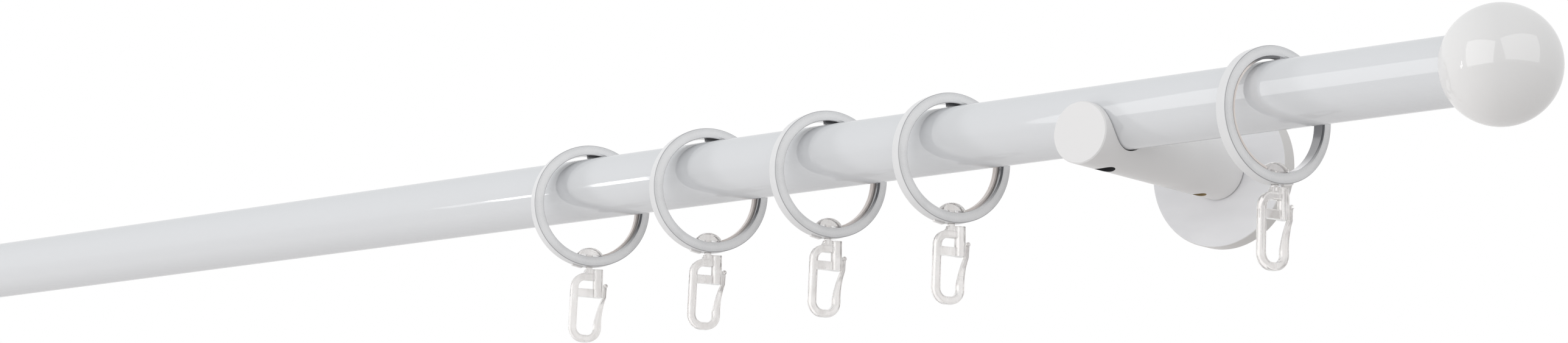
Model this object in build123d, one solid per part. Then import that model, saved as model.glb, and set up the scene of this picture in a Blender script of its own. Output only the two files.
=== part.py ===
# Curtain rod on two wall brackets, with ball finials and hanging rings that carry clear snap hooks.
#
# Frame: X runs along the rod, Y points at the wall and Z points up. The origin lies on the wall plane,
# midway between the brackets, at the height of their arms.
from build123d import *
import os
from math import sqrt

os.makedirs("parts", exist_ok=True)

# Rod: a lacquered tube that lies in both brackets
ROD_DIAMETER = 20.0
ROD_WALL = 1.0
ROD_LENGTH = 1200.0
ROD_TO_WALL = 66.6
ROD_ABOVE_ARM = 6.0

# Finials: a ball on the stem of a plug that is pushed into the tube
BALL_DIAMETER = 34.0
PLUG_LENGTH = 28.0
PLUG_CLEARANCE = 0.1
PLUG_CHAMFER = 1.0
STEM_DIAMETER = 8.0
STEM_LENGTH = 14.0
STEM_CLEARANCE = 0.1

# Bracket arm: a round bar with a cross cut that takes the rod, and a bore that slips over the spigot
BRACKET_FROM_ROD_END = 116.1
ARM_DIAMETER = 18.5
ARM_LIP = 2.9
ARM_FRONT_CHAMFER = 0.35
ARM_REAR_CHAMFER = 0.4
ARM_BORE_DEPTH = 26.0
SADDLE_CLEARANCE = 0.35

# Wall plate with its spigot, and the round rosette that covers it
PLATE_DIAMETER = 42.0
PLATE_THICKNESS = 2.6
SPIGOT_DIAMETER = 11.0
SPIGOT_CLEARANCE = 0.1
SPIGOT_TIP_GAP = 3.0
SPIGOT_CHAMFER = 0.8
WALL_SCREW_SPACING = 28.0
WALL_SCREW_HOLE = 4.5
WALL_SCREW_SINK = 7.5
ROSETTE_DIAMETER = 47.6
ROSETTE_DEPTH = 5.2
ROSETTE_WALL = 1.5
ROSETTE_EDGE_RADIUS = 0.4

# Set screws: one clamps the rod from below, one locks the arm on the spigot
CLAMP_SCREW_DIAMETER = 6.0
CLAMP_SCREW_LENGTH = 3.0
CLAMP_SCREW_KEY = 3.0
CLAMP_TIP_GAP = 0.05
LOCK_SCREW_DIAMETER = 4.0
LOCK_SCREW_LENGTH = 2.6
LOCK_SCREW_SLOT = 0.8
LOCK_TIP_GAP = 0.05
LOCK_FROM_ROSETTE = 10.6
SOCKET_DEPTH = 1.6
THREAD_CLEARANCE = 0.05

# Ring: a flat metal ring with a small nub below, and a plastic liner in one half of its bore
RING_DIAMETER = 39.8
RING_BORE = 33.5
RING_WIDTH = 4.1
RING_CHAMFER = 0.25
RING_HANG_GAP = 0.5
LINER_BORE = 32.4
LINER_WIDTH = 1.9
LINER_HEAD_GAP = 0.35
LINER_PAST_TOP = 0.8
NUB_ANGLE = 11.2
NUB_WIDTH = 3.7
NUB_DEPTH = 1.2
NUB_INSET = 0.55
NUB_PROUD = 0.45
NUB_ROUND = 0.4

# Hook: one clear moulding, with a mushroom head in the ring and a loop closed by a spring tongue
HOOK_BAR = 2.4
HOOK_BAR_RADIUS = 0.7
HOOK_ROUND_RATIO = 0.45
HOOK_HEAD_WIDTH = 8.4
HOOK_HEAD_DEPTH = 3.8
HOOK_HEAD_HEIGHT = 2.7
HOOK_HEAD_EDGE = 0.5
HOOK_HEAD_GAP = 0.03
HOOK_STUD_DIAMETER = 2.2
HOOK_STUD_CLEARANCE = 0.07
HOOK_SHOULDER_GAP = 0.75
HOOK_LOOP_WIDTH = 8.65
HOOK_LEG_LEAN = 0.75
HOOK_ARCH_DROP = 3.3
HOOK_ARCH_RADIUS = 3.6
HOOK_LOOP_DROP = 23.5
HOOK_LOOP_RADIUS = 3.6
HOOK_POST_WIDTH = 2.9
HOOK_POST_OFFSET = 3.1
HOOK_NECK_EDGE = 0.1
HOOK_NECK_REACH = 5.6
HOOK_NECK_SINK = 0.5
NECK_CURVE_RATIO = 0.4
HOOK_BRIDGE_DROP = 8.6
HOOK_BRIDGE_HEIGHT = 2.6
HOOK_BRIDGE_DEPTH = 1.9
TONGUE_GAP = 0.3
TONGUE_LEAN_RATIO = 0.35
TONGUE_TIP_WIDTH = 0.9
TONGUE_TIP_DROP = 6.0
TONGUE_TIP_LEAN = 0.25
TONGUE_BULB_RADIUS = 0.7

# Where the rings hang: distance from the bracket towards the middle of the rod, and turn about the vertical
RING_STATIONS = [202.2, 151.7, 103.2, 55.8, -57.8]
RING_TURNS = [27.9, 25.1, 22.2, 21.5, 17.0]
REVERSED_RING = 5

# Places and sizes that follow from the driving dimensions
ROD_RADIUS = ROD_DIAMETER / 2
ROD_END = ROD_LENGTH / 2
ROD_Y = -ROD_TO_WALL
ROD_Z = ROD_ABOVE_ARM
BRACKET_X = ROD_END - BRACKET_FROM_ROD_END
ARM_RADIUS = ARM_DIAMETER / 2
ARM_FRONT = ROD_Y - ROD_RADIUS - ARM_LIP
ROSETTE_FACE = -ROSETTE_DEPTH
LOCK_Y = ROSETTE_FACE - LOCK_FROM_ROSETTE
SPIGOT_TIP = ROSETTE_FACE - ARM_BORE_DEPTH + SPIGOT_TIP_GAP
RING_RADIUS = RING_DIAMETER / 2
RING_Z = ROD_Z + ROD_RADIUS + RING_HANG_GAP - LINER_BORE / 2
HEAD_SEAT = sqrt((RING_BORE / 2) ** 2 - (HOOK_HEAD_WIDTH / 2) ** 2) - HOOK_HEAD_GAP
SHOULDER = RING_RADIUS + HOOK_SHOULDER_GAP
SIDES = {"right": 1, "left": -1}


def bar(radius, start, end, direction):
    """Round bar from start to end along X, Y or Z."""
    turn = {"x": Rot(0, 90, 0), "y": Rot(-90, 0, 0), "z": Rot(0, 0, 0)}[direction]
    move = {"x": Pos(start, 0, 0), "y": Pos(0, start, 0), "z": Pos(0, 0, start)}[direction]
    return move * turn * Cylinder(radius, end - start, align=(Align.CENTER, Align.CENTER, Align.MIN))


def on_rod(x):
    """Place on the rod's axis at this X."""
    return Pos(x, ROD_Y, ROD_Z)


def facing_out(side):
    """Half turn that points a right-hand piece to the left."""
    return Rot(0, 0, 0 if side > 0 else 180)


def rod_tube():
    outer = bar(ROD_RADIUS, -ROD_END, ROD_END, "x")
    inner = bar(ROD_RADIUS - ROD_WALL, -ROD_END, ROD_END, "x")
    return on_rod(0) * (outer - inner)


def finial_ball(side):
    ball_radius = BALL_DIAMETER / 2
    seat_to_centre = sqrt(ball_radius**2 - ROD_RADIUS**2)
    ball = Pos(seat_to_centre, 0, 0) * Sphere(ball_radius)
    ball -= bar(ball_radius, -ball_radius, 0, "x")
    ball -= bar(STEM_DIAMETER / 2 + STEM_CLEARANCE, 0, STEM_LENGTH + STEM_CLEARANCE, "x")
    return on_rod(side * ROD_END) * facing_out(side) * ball


def finial_plug(side):
    plug = bar(ROD_RADIUS - ROD_WALL - PLUG_CLEARANCE, -PLUG_LENGTH, 0, "x")
    plug = chamfer(plug.edges().sort_by(Axis.X)[0], PLUG_CHAMFER)
    plug += bar(STEM_DIAMETER / 2, 0, STEM_LENGTH, "x")
    return on_rod(side * ROD_END) * facing_out(side) * plug


def bracket_arm(side):
    arm = bar(ARM_RADIUS, ARM_FRONT, ROSETTE_FACE, "y")
    arm = chamfer(arm.edges().filter_by(GeomType.CIRCLE).sort_by(Axis.Y)[0], ARM_FRONT_CHAMFER)
    arm = chamfer(arm.edges().filter_by(GeomType.CIRCLE).sort_by(Axis.Y)[-1], ARM_REAR_CHAMFER)
    saddle = bar(ROD_RADIUS + SADDLE_CLEARANCE, -ARM_DIAMETER, ARM_DIAMETER, "x")
    arm -= Pos(0, ROD_Y, ROD_Z) * saddle
    arm -= bar(SPIGOT_DIAMETER / 2 + SPIGOT_CLEARANCE, ROSETTE_FACE - ARM_BORE_DEPTH, ROSETTE_FACE, "y")
    clamp_hole = bar(CLAMP_SCREW_DIAMETER / 2 + THREAD_CLEARANCE, -ARM_DIAMETER, 0, "z")
    lock_hole = bar(LOCK_SCREW_DIAMETER / 2 + THREAD_CLEARANCE, -ARM_DIAMETER, 0, "z")
    arm -= Pos(0, ROD_Y, 0) * clamp_hole
    arm -= Pos(0, LOCK_Y, 0) * lock_hole
    return Pos(side * BRACKET_X, 0, 0) * arm


def wall_plate(side):
    plate = bar(PLATE_DIAMETER / 2, -PLATE_THICKNESS, 0, "y")
    sink_depth = (WALL_SCREW_SINK - WALL_SCREW_HOLE) / 2
    hole = bar(WALL_SCREW_HOLE / 2, -PLATE_THICKNESS, 0, "y")
    sink = Cone(WALL_SCREW_SINK / 2, WALL_SCREW_HOLE / 2, sink_depth,
                align=(Align.CENTER, Align.CENTER, Align.MIN))
    hole += Pos(0, -PLATE_THICKNESS, 0) * Rot(-90, 0, 0) * sink
    for end in (1, -1):
        plate -= Pos(0, 0, end * WALL_SCREW_SPACING / 2) * hole
    spigot = bar(SPIGOT_DIAMETER / 2, SPIGOT_TIP, -PLATE_THICKNESS / 2, "y")
    spigot = chamfer(spigot.edges().sort_by(Axis.Y)[0], SPIGOT_CHAMFER)
    return Pos(side * BRACKET_X, 0, 0) * (plate + spigot)


def rosette(side):
    cover = bar(ROSETTE_DIAMETER / 2, ROSETTE_FACE, 0, "y")
    cover = fillet(cover.edges().filter_by(GeomType.CIRCLE).sort_by(Axis.Y)[0], ROSETTE_EDGE_RADIUS)
    cover -= bar(ROSETTE_DIAMETER / 2 - ROSETTE_WALL, ROSETTE_FACE + ROSETTE_WALL, 0, "y")
    cover -= bar(SPIGOT_DIAMETER / 2 + SPIGOT_CLEARANCE, ROSETTE_FACE, 0, "y")
    return Pos(side * BRACKET_X, 0, 0) * cover


def clamp_screw(side):
    tip = ROD_Z - ROD_RADIUS - CLAMP_TIP_GAP
    foot = tip - CLAMP_SCREW_LENGTH
    screw = bar(CLAMP_SCREW_DIAMETER / 2, foot, tip, "z")
    key = extrude(RegularPolygon(CLAMP_SCREW_KEY / 2, 6, major_radius=False), SOCKET_DEPTH)
    screw -= Pos(0, 0, foot) * key
    return Pos(side * BRACKET_X, ROD_Y, 0) * screw


def lock_screw(side):
    tip = -SPIGOT_DIAMETER / 2 - LOCK_TIP_GAP
    foot = tip - LOCK_SCREW_LENGTH
    screw = bar(LOCK_SCREW_DIAMETER / 2, foot, tip, "z")
    slot = Box(LOCK_SCREW_DIAMETER, LOCK_SCREW_SLOT, SOCKET_DEPTH,
               align=(Align.CENTER, Align.CENTER, Align.MIN))
    screw -= Pos(0, 0, foot) * slot
    return Pos(side * BRACKET_X, LOCK_Y, 0) * screw


def ring_nub():
    """Rounded nub on the outside of the ring, beside the hook's hole."""
    reach = RING_RADIUS + NUB_PROUD
    root = (RING_DIAMETER + RING_BORE) / 4
    middle = -RING_WIDTH / 2 + NUB_INSET + NUB_DEPTH / 2
    nub = Box(NUB_DEPTH, NUB_WIDTH, reach - root, align=(Align.CENTER, Align.CENTER, Align.MIN))
    nub = fillet(nub.edges().filter_by(Axis.X).sort_by(Axis.Z)[:2], NUB_ROUND)
    return Rot(-NUB_ANGLE, 0, 0) * Pos(middle, 0, -reach) * nub


def ring_band():
    """Metal ring about X, with the stud's hole at the bottom and the nub beside it."""
    half = RING_WIDTH / 2
    band = bar(RING_RADIUS, -half, half, "x") - bar(RING_BORE / 2, -half, half, "x")
    band = chamfer(band.edges().filter_by(GeomType.CIRCLE), RING_CHAMFER)
    band -= bar(HOOK_STUD_DIAMETER / 2 + HOOK_STUD_CLEARANCE, -RING_DIAMETER, 0, "z")
    return band + ring_nub()


def ring_liner():
    """Plastic liner flush with the ring's back face, from beside the hook's head to just past the top."""
    back = -RING_WIDTH / 2
    front = back + LINER_WIDTH
    band = bar(RING_BORE / 2, back, front, "x") - bar(LINER_BORE / 2, back, front, "x")
    gap = Box(2 * RING_WIDTH, HOOK_HEAD_WIDTH + 2 * LINER_HEAD_GAP, RING_DIAMETER,
              align=(Align.CENTER, Align.CENTER, Align.MAX))
    bare_half = Box(2 * RING_WIDTH, RING_DIAMETER, 2 * RING_DIAMETER,
                    align=(Align.CENTER, Align.MAX, Align.CENTER))
    return band - gap - Pos(0, -LINER_PAST_TOP, 0) * bare_half


def hook_head():
    """Mushroom head: a dome on a stud, narrowed to stay between the ring's faces."""
    head_radius = HOOK_HEAD_WIDTH / 2
    rise = HOOK_HEAD_HEIGHT - HOOK_HEAD_EDGE
    dome_radius = (head_radius**2 + rise**2) / (2 * rise)
    top = -HEAD_SEAT + HOOK_HEAD_HEIGHT
    dome = Pos(0, 0, top - dome_radius) * Sphere(dome_radius)
    head = dome & bar(head_radius, -HEAD_SEAT, top, "z")
    head &= Pos(0, 0, -HEAD_SEAT) * Box(HOOK_HEAD_DEPTH, HOOK_HEAD_WIDTH, 2 * HOOK_HEAD_HEIGHT)
    stud = bar(HOOK_STUD_DIAMETER / 2, -SHOULDER - HOOK_BAR / 2, -HEAD_SEAT + HOOK_HEAD_EDGE, "z")
    return head + stud


def bar_section(width, depth):
    """Rounded section of the moulding, square to the run it is placed on."""
    corner = min(HOOK_BAR_RADIUS, HOOK_ROUND_RATIO * min(width, depth))
    return RectangleRounded(width, depth, corner)


def hook_loop():
    """Swept bar from the post over the arch, down the back leg and round the bottom."""
    base = -RING_RADIUS
    arch = (0, base - HOOK_ARCH_DROP)
    shoulder = (-HOOK_LOOP_WIDTH + HOOK_LEG_LEAN, base - HOOK_ARCH_DROP)
    heel = (-HOOK_LOOP_WIDTH, base - HOOK_LOOP_DROP)
    toe = (0, base - HOOK_LOOP_DROP)
    tongue_root = (0, base - HOOK_LOOP_DROP + HOOK_LOOP_RADIUS + HOOK_BAR / 2)
    route = FilletPolyline(
        arch, shoulder, heel, toe, tongue_root,
        radius=[HOOK_ARCH_RADIUS, HOOK_LOOP_RADIUS, HOOK_LOOP_RADIUS],
    )
    path = Plane.YZ * route
    section = Plane(origin=path @ 0, x_dir=(0, 0, 1), z_dir=path % 0) * bar_section(HOOK_BAR, HOOK_BAR)
    return sweep(section, path=path)


def hook_tongue():
    """Spring tongue: tapers up from the loop's front corner and leans out past the post to a rounded tip."""
    base = -RING_RADIUS
    root_z = base - HOOK_LOOP_DROP + HOOK_LOOP_RADIUS + HOOK_BAR / 2
    tip_z = base - TONGUE_TIP_DROP
    bridge_z = base - HOOK_BRIDGE_DROP - HOOK_BRIDGE_HEIGHT / 2
    waist_y = HOOK_POST_WIDTH / 2 + TONGUE_GAP + TONGUE_TIP_WIDTH / 2
    middle_z = (root_z + bridge_z) / 2
    middle_y = TONGUE_LEAN_RATIO * waist_y
    middle_width = (HOOK_BAR + TONGUE_TIP_WIDTH) / 2
    stations = [
        (0, root_z, HOOK_BAR),
        (middle_y, middle_z, middle_width),
        (waist_y, bridge_z, TONGUE_TIP_WIDTH),
        (waist_y + TONGUE_TIP_LEAN, tip_z, TONGUE_TIP_WIDTH),
    ]
    sections = [Pos(0, y, z) * bar_section(HOOK_BAR, width) for y, z, width in stations]
    blade = loft(sections[:3])
    blade += loft(sections[2:], ruled=True)
    bulb = bar(TONGUE_BULB_RADIUS, -HOOK_BAR / 2, HOOK_BAR / 2, "x")
    bulb = fillet(bulb.edges().filter_by(GeomType.CIRCLE), TONGUE_BULB_RADIUS / 2)
    return blade + Pos(0, waist_y + TONGUE_TIP_LEAN, tip_z) * bulb


def hook_post():
    """Post beside the stud with its flare into the arch, and the bridge across the loop."""
    base = -RING_RADIUS
    top = -SHOULDER
    bridge_z = base - HOOK_BRIDGE_DROP
    post_height = top - (bridge_z - HOOK_BRIDGE_HEIGHT / 2)
    post_section = bar_section(HOOK_POST_WIDTH, HOOK_POST_WIDTH)
    post = Pos(0, 0, top - post_height) * extrude(post_section, post_height)
    bridge = Pos(0, -HOOK_LOOP_WIDTH / 2, bridge_z) * Box(
        HOOK_BRIDGE_DEPTH, HOOK_LOOP_WIDTH, HOOK_BRIDGE_HEIGHT)
    arch_z = base - HOOK_ARCH_DROP
    arch_top = arch_z + HOOK_BAR / 2
    flare_end = arch_top - HOOK_NECK_SINK
    flare_start = -HOOK_POST_OFFSET - HOOK_STUD_DIAMETER / 2 - HOOK_NECK_EDGE
    middle_y = flare_start - NECK_CURVE_RATIO * (HOOK_NECK_REACH + flare_start)
    middle_z = flare_end + NECK_CURVE_RATIO * (top - flare_end)
    flare = make_face([
        Polyline((-HOOK_NECK_REACH, flare_end), (-HOOK_NECK_REACH, arch_z), (0, arch_z), (0, top),
                 (flare_start, top)),
        ThreePointArc((flare_start, top), (middle_y, middle_z), (-HOOK_NECK_REACH, flare_end)),
    ])
    web = extrude(Plane.YZ * flare, HOOK_BRIDGE_DEPTH / 2, both=True)
    return post + bridge + web


def snap_hook():
    """The loop and its post hang beside the stud, on the tongue's side."""
    return hook_head() + Pos(0, HOOK_POST_OFFSET, 0) * (hook_post() + hook_loop() + hook_tongue())


def ring_place(side, number):
    """Where a ring hangs on the rod, with its front face turned towards the room."""
    station = side * (BRACKET_X - RING_STATIONS[number - 1])
    turn = -side * RING_TURNS[number - 1]
    return Pos(station, ROD_Y, RING_Z) * Rot(0, 0, turn)


def ring_facing(number):
    """One ring of each set hangs with its back to the front."""
    return Rot(0, 0, 180 if number == REVERSED_RING else 0)


def save(shape, name):
    shape.label = name
    export_step(shape, f"parts/{name}.step")


save(rod_tube(), "rod_tube")
for name, side in SIDES.items():
    save(finial_ball(side), f"finial_ball_{name}")
    save(finial_plug(side), f"finial_plug_{name}")
    save(bracket_arm(side), f"bracket_arm_{name}")
    save(wall_plate(side), f"wall_plate_{name}")
    save(rosette(side), f"rosette_{name}")
save(Compound([clamp_screw(side) for side in SIDES.values()]), "clamp_screws")
save(Compound([lock_screw(side) for side in SIDES.values()]), "lock_screws")

band, liner, hook = ring_band(), ring_liner(), snap_hook()
for name, side in SIDES.items():
    for number in range(1, len(RING_STATIONS) + 1):
        place = ring_place(side, number)
        ring_turn = place * facing_out(side) * ring_facing(number)
        save(ring_turn * band, f"ring_{name}_{number}")
        save(ring_turn * liner, f"liner_{name}_{number}")
        save(place * hook, f"hook_{name}_{number}")
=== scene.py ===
"""Looks of the curtain rod with brackets: materials, camera, floor and lights for the model."""
import math

import bpy
from mathutils import Matrix, Vector

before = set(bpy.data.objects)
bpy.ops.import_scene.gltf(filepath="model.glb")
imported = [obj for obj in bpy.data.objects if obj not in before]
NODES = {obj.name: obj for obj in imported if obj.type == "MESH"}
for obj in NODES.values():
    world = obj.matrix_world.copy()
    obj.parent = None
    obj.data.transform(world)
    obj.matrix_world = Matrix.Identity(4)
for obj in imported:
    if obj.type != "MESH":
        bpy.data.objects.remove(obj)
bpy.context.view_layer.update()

MM = 0.001
SIDES = {"right": 1, "left": -1}
X_AXIS, Y_AXIS, Z_AXIS = (1.0, 0.0, 0.0), (0.0, 1.0, 0.0), (0.0, 0.0, 1.0)
XY_PLANE, XZ_PLANE, YZ_PLANE = (1.0, 1.0, 0.0), (1.0, 0.0, 1.0), (0.0, 1.0, 1.0)
EVEN = (1.0, 1.0, 1.0)

# Places and sizes on the part that the paint and the lamps follow
ROD_Y = -66.6 * MM
ROD_Z = 6.0 * MM
ROD_RADIUS = 10.0 * MM
BALL_X = 614.0 * MM
BRACKET_X = 483.9 * MM
ROSETTE_RADIUS = 23.8 * MM
SEAM_Y = 5.58 * MM
LOCK_Y = -15.8 * MM
CLAMP_HOLE_RADIUS = 3.08 * MM
LOCK_HOLE_RADIUS = 2.08 * MM
RING_Z = 0.3 * MM
RING_BORE_RADIUS = 16.75 * MM
RING_RADIUS = 19.9 * MM
RING_HALF_WIDTH = 2.05 * MM
RING_CHAMFER = 0.25 * MM
RING_STATIONS_MM = [202.2, 151.7, 103.2, 55.8, -57.8]
RING_TURNS_DEGREES = [27.9, 25.1, 22.2, 21.5, 17.0]

# Clear coats of the lacquers
HIGH_GLOSS = {"coat": 0.8, "index": 2.2, "gloss": 0.03}
SATIN = {"coat": 0.4, "index": 1.7, "gloss": 0.12}

# Range that the values of a noise mostly stay in
NOISE_LOW, NOISE_HIGH = 0.3, 0.7

# Stage
FLOOR_HALF_SIZE = 14.0
FLOOR_HEIGHT = -1.8
FLOOR_PALENESS = 0.85
WORLD_LIGHT = 0.55
WORLD_TINT = (0.97, 0.985, 1.0, 1.0)
WHITE = (1.0, 1.0, 1.0, 1.0)
STREAK_DISTANCE = 2.0

# Camera, fitted to the photograph
CAMERA_PLACE = (1.09662, -0.9677, -0.2102)
CAMERA_AHEAD = (-0.6210, 0.7627, 0.1807)
CAMERA_UP = (0.1052, -0.1474, 0.9835)
CAMERA_LENS_MM = 86.683
CAMERA_SENSOR_MM = 36.0
CAMERA_NEAR, CAMERA_FAR = 0.05, 60.0


class Paint:
    """A material with its Principled shader, and short ways to add texture nodes to it."""

    def __init__(self, name, **sockets):
        self.material = bpy.data.materials.new(name)
        self.material.use_nodes = True
        self.tree = self.material.node_tree
        self.shader = self.tree.nodes["Principled BSDF"]
        self.place = self.node("ShaderNodeTexCoord").outputs["Object"]
        self.tone = None
        for socket, value in sockets.items():
            self.shader.inputs[socket.replace("_", " ")].default_value = value

    def node(self, kind, **settings):
        made = self.tree.nodes.new(kind)
        for key, value in settings.items():
            setattr(made, key, value)
        return made

    def link(self, source, target):
        self.tree.links.new(source, target)

    def feed(self, node, *values):
        """Fills a node's inputs in order with sockets or plain values."""
        for index, value in enumerate(values):
            if isinstance(value, bpy.types.NodeSocket):
                self.link(value, node.inputs[index])
            else:
                node.inputs[index].default_value = value
        return node

    def math(self, operation, *values):
        node = self.node("ShaderNodeMath", operation=operation)
        return self.feed(node, *values).outputs[0]

    def vector(self, operation, *values):
        return self.feed(self.node("ShaderNodeVectorMath", operation=operation), *values)

    def stretched(self, place, stretch):
        return self.vector("MULTIPLY", place, stretch).outputs[0]

    def offset(self, place, origin):
        return self.vector("SUBTRACT", place, origin).outputs[0]

    def mirrored(self):
        """The place with each coordinate made positive, so that both ends of the rod agree."""
        return self.vector("ABSOLUTE", self.place).outputs[0]

    def along(self, place, axis):
        """Signed distance from the origin along an axis."""
        return self.vector("DOT_PRODUCT", place, axis).outputs["Value"]

    def reach(self, place, axes):
        """Distance from the origin, measured in some of the axes only."""
        return self.vector("LENGTH", self.stretched(place, axes)).outputs["Value"]

    def noise(self, place, scale, detail=3.0, rough=0.55):
        node = self.node("ShaderNodeTexNoise")
        self.link(place, node.inputs["Vector"])
        node.inputs["Scale"].default_value = scale
        node.inputs["Detail"].default_value = detail
        node.inputs["Roughness"].default_value = rough
        return node.outputs["Fac"]

    def ramp(self, value, start, end, low=0.0, high=1.0):
        """Goes from low, where the value is at the start, to high at the end."""
        node = self.node("ShaderNodeMapRange")
        return self.feed(node, value, start, end, low, high).outputs[0]

    def span(self, noise, low, high):
        """Maps a noise to a range."""
        return self.ramp(noise, NOISE_LOW, NOISE_HIGH, low, high)

    def mix(self, factor, first, second):
        node = self.node("ShaderNodeMix", data_type="RGBA")
        for name, value in (("Factor_Float", factor), ("A_Color", first), ("B_Color", second)):
            socket = next(s for s in node.inputs if s.identifier == name)
            if isinstance(value, bpy.types.NodeSocket):
                self.link(value, socket)
            else:
                socket.default_value = (*value, 1.0)
        return next(s for s in node.outputs if s.identifier == "Result_Color")

    def blotched(self, noise, dark, light):
        """Colour that wanders between two tones with a noise."""
        return self.mix(self.span(noise, 0.0, 1.0), dark, light)

    def colour(self, source):
        """Sets the base colour, and keeps it for a paint that goes on from it."""
        self.tone = source
        self.link(source, self.shader.inputs["Base Color"])

    def rough(self, source):
        self.link(source, self.shader.inputs["Roughness"])

    def metal(self, source):
        self.link(source, self.shader.inputs["Metallic"])

    def bump(self, height, strength, distance):
        node = self.node("ShaderNodeBump")
        node.inputs["Strength"].default_value = strength
        node.inputs["Distance"].default_value = distance
        self.link(height, node.inputs["Height"])
        self.link(node.outputs[0], self.shader.inputs["Normal"])


def put(material, name):
    """Makes the material the only one of a node."""
    slots = NODES[name].data.materials
    slots.clear()
    slots.append(material)


def lacquer(name, light, dark, stretch, coat, index, gloss):
    """Sprayed lacquer: faint tone drift and orange peel under a clear coat."""
    paint = Paint(
        name, Specular_IOR_Level=0.0, Coat_Weight=coat, Coat_IOR=index, Coat_Roughness=gloss)
    drawn = paint.stretched(paint.place, stretch)
    paint.colour(paint.blotched(paint.noise(drawn, scale=18.0, detail=2.0), dark, light))
    paint.rough(paint.span(paint.noise(drawn, scale=90.0, detail=4.0), 0.4, 0.6))
    peel = paint.noise(paint.place, scale=700.0, detail=2.0)
    paint.bump(peel, strength=0.02, distance=0.03 * MM)
    return paint


def arm_paint():
    """Lacquered arm with painted shade darkening the walls of its two screw holes and the seam at
    the rosette.
    """
    # Near-black and dark-brown tones of painted shade for the holes and the seam
    shaded_wall_tone, shaded_brown_wall_tone = (0.06, 0.06, 0.065), (0.4, 0.31, 0.18)
    holes = ((-ROD_Y, CLAMP_HOLE_RADIUS, shaded_wall_tone), (-LOCK_Y, LOCK_HOLE_RADIUS, shaded_brown_wall_tone))
    paint = lacquer(
        "bracket_lacquer", light=(0.85, 0.842, 0.838), dark=(0.83, 0.823, 0.82),
        stretch=(1.0, 0.15, 1.0), **SATIN)
    mirrored = paint.mirrored()
    # Painted shade: the arm's end in the gap at the rosette is coloured near black
    seam = paint.math("LESS_THAN", paint.along(mirrored, Y_AXIS), SEAM_Y)
    tone = paint.mix(seam, paint.tone, shaded_wall_tone)
    below = paint.math("LESS_THAN", paint.along(paint.place, Z_AXIS), 0.0)
    # Painted shade inside the screw holes on the underside: near black in the clamp hole, dark
    # brown in the lock hole
    for hole_y, radius, wall in holes:
        from_hole = paint.offset(mirrored, (BRACKET_X, hole_y, 0.0))
        inside = paint.math("LESS_THAN", paint.reach(from_hole, XY_PLANE), radius)
        tone = paint.mix(paint.math("MULTIPLY", below, inside), tone, wall)
    paint.colour(tone)
    return paint.material


def rosette_paint():
    """Lacquered cover with faint wiping marks on its face, and painted shade, darker and a little
    warm, all round its edge.
    """
    # The second tone is painted shade for the edge
    wiped_tone, shaded_edge_tone = (0.75, 0.75, 0.77), (0.72, 0.705, 0.69)
    paint = lacquer(
        "rosette_lacquer", light=(0.91, 0.91, 0.925), dark=(0.87, 0.87, 0.882),
        stretch=EVEN, **SATIN)
    marks = paint.noise(paint.stretched(paint.place, (0.35, 1.0, 1.0)), scale=110.0)
    tone = paint.mix(paint.span(marks, 0.0, 0.35), paint.tone, wiped_tone)
    from_axis = paint.offset(paint.mirrored(), (BRACKET_X, 0.0, 0.0))
    radial = paint.reach(from_axis, XZ_PLANE)
    # Painted shade on the outer edge of the cover
    edge = paint.ramp(radial, ROSETTE_RADIUS - 0.3 * MM, ROSETTE_RADIUS - 0.1 * MM)
    paint.colour(paint.mix(edge, tone, shaded_edge_tone))
    return paint.material


def plain_metal(name, light, dark, smooth, rough):
    """Bare metal with fine upright draw marks."""
    paint = Paint(name, Metallic=1.0)
    drawn = paint.stretched(paint.place, (1.0, 1.0, 0.1))
    marks = paint.noise(drawn, scale=1400.0, detail=4.0, rough=0.6)
    paint.colour(paint.blotched(marks, dark, light))
    paint.rough(paint.span(marks, smooth, rough))
    paint.bump(marks, strength=0.15, distance=0.03 * MM)
    return paint.material


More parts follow.
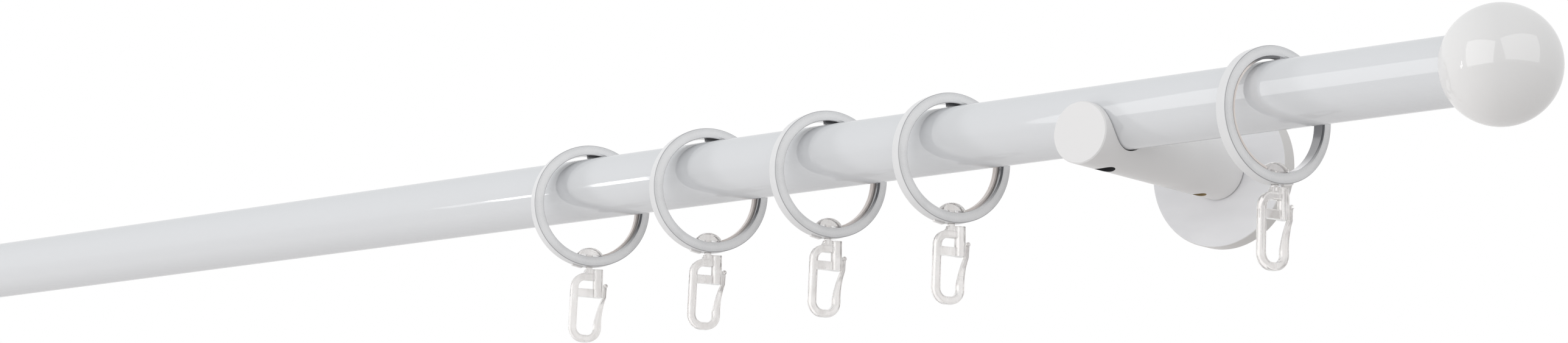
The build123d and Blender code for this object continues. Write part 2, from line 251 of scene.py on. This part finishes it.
def ring_paint(name, centre, turn):
    """Ring: lacquered rim, satin faces with painted shading, painted shade on the outer edges and
    beside the bore, a polished bore with painted shade and highlight, and a pale nub.
    """
    # Tones of painted shade: beside the bore, and on the outer edges
    margin_shade_tone, shaded_edge_tone = (0.1, 0.105, 0.115), (0.42, 0.42, 0.435)
    nub_tone = (0.9, 0.885, 0.875)
    # Painted shade and painted highlight for the bore
    bore_shade_tone, bore_highlight_tone = (0.0, 0.0, 0.0), (1.0, 1.0, 1.03)
    paint = Paint(name, Coat_Weight=0.3, Coat_Roughness=0.12)
    mapping = paint.node("ShaderNodeMapping", vector_type="TEXTURE")
    paint.link(paint.place, mapping.inputs["Vector"])
    mapping.inputs["Location"].default_value = centre
    mapping.inputs["Rotation"].default_value = (0.0, 0.0, turn)
    local = mapping.outputs[0]
    radial = paint.reach(local, YZ_PLANE)
    axial = paint.reach(local, X_AXIS)
    height = paint.along(local, Z_AXIS)

    # Which surface of the ring a point lies on
    hair = 0.05 * MM
    bore = paint.math("LESS_THAN", radial, RING_BORE_RADIUS + hair)
    nub = paint.math("GREATER_THAN", radial, RING_RADIUS + hair)
    face = paint.math("GREATER_THAN", axial, RING_HALF_WIDTH - 0.03 * MM)
    near_face = paint.math("GREATER_THAN", axial, RING_HALF_WIDTH - RING_CHAMFER)
    near_rim = paint.math("GREATER_THAN", radial, RING_RADIUS - 0.8 * RING_CHAMFER)
    edge = paint.math("MULTIPLY", near_face, near_rim)

    # Faces: painted shading, palest along the middle of the band and darker towards its edges as if
    # the face were rounded; clouded, with fine turning marks
    middle = 0.5 * (RING_BORE_RADIUS + RING_RADIUS)
    from_middle = paint.math("ABSOLUTE", paint.math("SUBTRACT", radial, middle))
    rounding_shade = paint.ramp(from_middle, 0.2 * MM, 1.5 * MM, low=1.0, high=0.0)
    turned_place = paint.stretched(local, (0.2, 1.0, 1.0))
    turned = paint.noise(turned_place, scale=2600.0, detail=2.0, rough=0.5)
    cloud = paint.span(paint.noise(local, scale=140.0, detail=2.0), -0.35, 0.35)
    grain = paint.span(turned, -0.25, 0.25)
    shade = paint.math("ADD", paint.math("ADD", rounding_shade, cloud), grain)
    paleness = paint.ramp(shade, 0.0, 1.0)
    face_tone = paint.mix(paleness, (0.745, 0.748, 0.755), (0.87, 0.872, 0.877))
    rim_noise = paint.noise(local, scale=60.0)
    rim_tone = paint.blotched(rim_noise, dark=(0.75, 0.75, 0.755), light=(0.79, 0.79, 0.795))
    tone = paint.mix(face, rim_tone, face_tone)

    # Painted shade and dark reflection beside the bore on the wall side, darkest under the rod,
    # fading out towards the bottom
    wall_side = paint.ramp(paint.along(local, Y_AXIS), 2.0 * MM, 5.0 * MM)
    upper = paint.math("MULTIPLY", wall_side, paint.ramp(height, -14.0 * MM, -5.5 * MM))
    margin = paint.math("LESS_THAN", radial, RING_BORE_RADIUS + 0.7 * MM)
    tone = paint.mix(paint.math("MULTIPLY", margin, upper), tone, margin_shade_tone)
    # Painted shade along the chamfered outer edges of the faces
    tone = paint.mix(edge, tone, shaded_edge_tone)
    tone = paint.mix(nub, tone, nub_tone)

    # Bore: polished metal with painted shade and painted reflection, dark under the rod and
    # brightest at the bottom
    lit = paint.ramp(height, -RING_BORE_RADIUS, -0.6 * RING_BORE_RADIUS, low=0.85, high=0.3)
    paint.colour(paint.mix(bore, tone, paint.mix(lit, bore_shade_tone, bore_highlight_tone)))
    paint.metal(paint.math("MULTIPLY", bore, 0.95))
    satin = paint.span(turned, 0.3, 0.4)
    polish = paint.math("MULTIPLY", bore, 0.22)
    paint.rough(paint.math("SUBTRACT", satin, polish))
    paint.bump(turned, strength=0.03, distance=0.01 * MM)
    return paint.material


def liner_paint():
    """Natural plastic band, slightly cloudy, with painted shade darkening its top where it rides on
    the rod.
    """
    contact_shade_tone = (0.16, 0.16, 0.17)
    paint = Paint("liner_plastic")
    cloud = paint.noise(paint.place, scale=160.0, detail=4.0)
    clean = paint.blotched(cloud, dark=(0.82, 0.745, 0.7), light=(0.88, 0.82, 0.78))
    height = paint.along(paint.place, Z_AXIS)
    # Painted shade: the top of the band, in the contact with the rod, is coloured near black
    contact_shade = paint.ramp(height, ROD_Z + 6.5 * MM, ROD_Z + 9.0 * MM)
    paint.colour(paint.mix(contact_shade, clean, contact_shade_tone))
    paint.rough(paint.span(cloud, 0.32, 0.45))
    paint.bump(paint.noise(paint.place, scale=1500.0), strength=0.08, distance=0.03 * MM)
    return paint.material


def hook_paint():
    """Clear moulding: glassy, a little clouded, with faint flow streaks down its length."""
    paint = Paint(
        "clear_plastic", IOR=1.49, Transmission_Weight=0.72, Coat_Weight=1.0, Coat_Roughness=0.05)
    flow = paint.noise(paint.stretched(paint.place, (1.0, 1.0, 0.12)), scale=900.0)
    cloud = paint.noise(paint.stretched(paint.place, (1.0, 1.0, 0.3)), scale=700.0, detail=2.0)
    paint.colour(paint.blotched(cloud, dark=(0.83, 0.8, 0.785), light=(0.95, 0.935, 0.925)))
    paint.rough(paint.span(flow, 0.02, 0.07))
    paint.bump(flow, strength=0.04, distance=0.03 * MM)
    return paint.material


def plug_paint():
    """Plain moulded plastic of the plugs in the rod's ends."""
    paint = Paint("plug_plastic")
    cloud = paint.noise(paint.place, scale=120.0)
    paint.colour(paint.blotched(cloud, dark=(0.74, 0.74, 0.73), light=(0.82, 0.82, 0.81)))
    paint.rough(paint.span(cloud, 0.4, 0.55))
    paint.bump(paint.noise(paint.place, scale=1200.0), strength=0.1, distance=0.04 * MM)
    return paint.material


def dress():
    """Gives every node its material."""
    rod = lacquer(
        "rod_lacquer", light=(0.74, 0.752, 0.77), dark=(0.725, 0.735, 0.752),
        stretch=(0.08, 1.0, 1.0), **HIGH_GLOSS).material
    ball = lacquer(
        "ball_lacquer", light=(0.828, 0.82, 0.813), dark=(0.813, 0.805, 0.798),
        stretch=EVEN, **HIGH_GLOSS).material
    cover, arm = rosette_paint(), arm_paint()
    zinc = plain_metal(
        "zinc_steel", light=(0.70, 0.71, 0.72), dark=(0.58, 0.59, 0.6), smooth=0.28, rough=0.42)
    steel = plain_metal(
        "dark_steel", light=(0.16, 0.165, 0.175), dark=(0.08, 0.082, 0.088),
        smooth=0.22, rough=0.35)
    brass = plain_metal(
        "brass", light=(0.34, 0.26, 0.15), dark=(0.2, 0.15, 0.085), smooth=0.25, rough=0.4)
    plug, liner, hook = plug_paint(), liner_paint(), hook_paint()
    put(rod, "rod_tube")
    put(steel, "clamp_screws")
    put(brass, "lock_screws")
    for side, sign in SIDES.items():
        put(ball, f"finial_ball_{side}")
        put(plug, f"finial_plug_{side}")
        put(arm, f"bracket_arm_{side}")
        put(cover, f"rosette_{side}")
        put(zinc, f"wall_plate_{side}")
        rings = zip(RING_STATIONS_MM, RING_TURNS_DEGREES)
        for number, (station, degrees) in enumerate(rings, 1):
            centre = (sign * (BRACKET_X - station * MM), ROD_Y, RING_Z)
            turn = math.radians(-sign * degrees)
            ring = ring_paint(f"ring_lacquer_{side}_{number}", centre, turn)
            put(ring, f"ring_{side}_{number}")
            put(liner, f"liner_{side}_{number}")
            put(hook, f"hook_{side}_{number}")


def softbox(name, target, towards, distance, size, radiance, in_gloss=True):
    """Rectangular area lamp that faces the target, hidden from the camera."""
    width, height = size
    light = bpy.data.lights.new(name, "AREA")
    light.shape = "RECTANGLE"
    light.size = width
    light.size_y = height
    light.energy = radiance * math.pi * width * height
    lamp = bpy.data.objects.new(name, light)
    bpy.context.scene.collection.objects.link(lamp)
    away = Vector(towards).normalized()
    lamp.location = Vector(target) + away * distance
    lamp.rotation_mode = "QUATERNION"
    lamp.rotation_quaternion = away.to_track_quat("Z", "Y")
    lamp.visible_camera = False
    lamp.visible_glossy = in_gloss


def studio_lamps():
    """Two broad lamps that show in the gloss, four that do not, and three thin ones for streaks."""
    ball, middle, rings = ((x, ROD_Y, ROD_Z) for x in (BALL_X, 0.0, 0.2))
    softbox(
        "softbox_front", ball, towards=(-0.18, -0.95, 0.235),
        distance=2.5, size=(2.5, 2.0), radiance=0.76)
    softbox(
        "softbox_side", ball, towards=(0.87, -0.33, 0.36),
        distance=2.5, size=(3.4, 2.2), radiance=0.6)
    softbox(
        "softbox_top", ball, towards=(0.2, -0.25, 0.95),
        distance=2.2, size=(2.0, 2.0), radiance=0.35, in_gloss=False)
    softbox(
        "softbox_back", middle, towards=(0.2, 0.9, 0.35),
        distance=3.0, size=(2.5, 2.0), radiance=0.5, in_gloss=False)
    softbox(
        "key_left", rings, towards=(-0.88, -0.465, 0.02),
        distance=4.0, size=(0.5, 0.5), radiance=41.0, in_gloss=False)
    softbox(
        "softbox_low", rings, towards=(-0.7, -0.6, -0.36),
        distance=3.5, size=(2.7, 0.9), radiance=2.35, in_gloss=False)
    streaks = (
        ("streak", 0.275, (-0.647, -0.763, -0.01), (0.045, 0.3), 6.0),
        ("streak_left", 0.258, (-0.678, -0.735, -0.085), (0.04, 0.2), 5.0),
        ("streak_faint", 0.24, (-0.686, -0.727, -0.085), (0.06, 0.2), 0.8))
    for name, x, towards, size, radiance in streaks:
        rod_front = (x, ROD_Y - ROD_RADIUS, ROD_Z)
        softbox(name, rod_front, towards, STREAK_DISTANCE, size, radiance)


def stage_floor():
    """Pale floor well below the rod, paler still to the camera, in gloss and through plastic."""
    far, low = FLOOR_HALF_SIZE, FLOOR_HEIGHT
    mesh = bpy.data.meshes.new("floor")
    corners = [(-far, -far, low), (far, -far, low), (far, far, low), (-far, far, low)]
    mesh.from_pydata(corners, [], [(0, 1, 2, 3)])
    floor = bpy.data.objects.new("floor", mesh)
    bpy.context.scene.collection.objects.link(floor)
    paint = Paint("floor_paint", Roughness=0.9)
    cloud = paint.noise(paint.place, scale=3.0)
    paint.colour(paint.blotched(cloud, dark=(0.79, 0.767, 0.753), light=(0.81, 0.787, 0.773)))
    pale = paint.node("ShaderNodeEmission")
    path = paint.node("ShaderNodeLightPath").outputs
    seen = paint.math("MAXIMUM", path["Is Camera Ray"], path["Is Glossy Ray"])
    seen = paint.math("MAXIMUM", seen, path["Is Transmission Ray"])
    share = paint.math("MULTIPLY", seen, FLOOR_PALENESS)
    blend = paint.node("ShaderNodeMixShader")
    paint.feed(blend, share, paint.shader.outputs[0], pale.outputs[0])
    paint.link(blend.outputs[0], paint.tree.nodes["Material Output"].inputs["Surface"])
    mesh.materials.append(paint.material)


def studio_world():
    """White to the camera, in gloss and through plastic; a softer level lights the object."""
    world = bpy.data.worlds.new("studio")
    bpy.context.scene.world = world
    world.use_nodes = True
    tree = world.node_tree
    tree.nodes.clear()

    def either(first, second):
        node = tree.nodes.new("ShaderNodeMath")
        node.operation = "MAXIMUM"
        tree.links.new(first, node.inputs[0])
        tree.links.new(second, node.inputs[1])
        return node.outputs[0]

    def background(colour, strength):
        node = tree.nodes.new("ShaderNodeBackground")
        node.inputs["Color"].default_value = colour
        node.inputs["Strength"].default_value = strength
        return node.outputs[0]

    path = tree.nodes.new("ShaderNodeLightPath").outputs
    seen = either(path["Is Camera Ray"], path["Is Glossy Ray"])
    seen = either(seen, path["Is Transmission Ray"])
    mix = tree.nodes.new("ShaderNodeMixShader")
    tree.links.new(seen, mix.inputs[0])
    tree.links.new(background(WORLD_TINT, WORLD_LIGHT), mix.inputs[1])
    tree.links.new(background(WHITE, 1.0), mix.inputs[2])
    out = tree.nodes.new("ShaderNodeOutputWorld")
    tree.links.new(mix.outputs[0], out.inputs["Surface"])


def photo_camera():
    """Camera at the photograph's place: below the rod, at its right-hand end."""
    data = bpy.data.cameras.new("camera")
    data.sensor_fit = "HORIZONTAL"
    data.sensor_width = CAMERA_SENSOR_MM
    data.lens = CAMERA_LENS_MM
    data.clip_start = CAMERA_NEAR
    data.clip_end = CAMERA_FAR
    camera = bpy.data.objects.new("camera", data)
    bpy.context.scene.collection.objects.link(camera)
    ahead = Vector(CAMERA_AHEAD).normalized()
    across = ahead.cross(Vector(CAMERA_UP)).normalized()
    up = across.cross(ahead)
    turn = Matrix((across, up, -ahead)).transposed()
    camera.matrix_world = Matrix.Translation(CAMERA_PLACE) @ turn.to_4x4()
    bpy.context.scene.camera = camera


dress()
stage_floor()
studio_world()
studio_lamps()
photo_camera()
bpy.context.scene.view_settings.view_transform = "Standard"
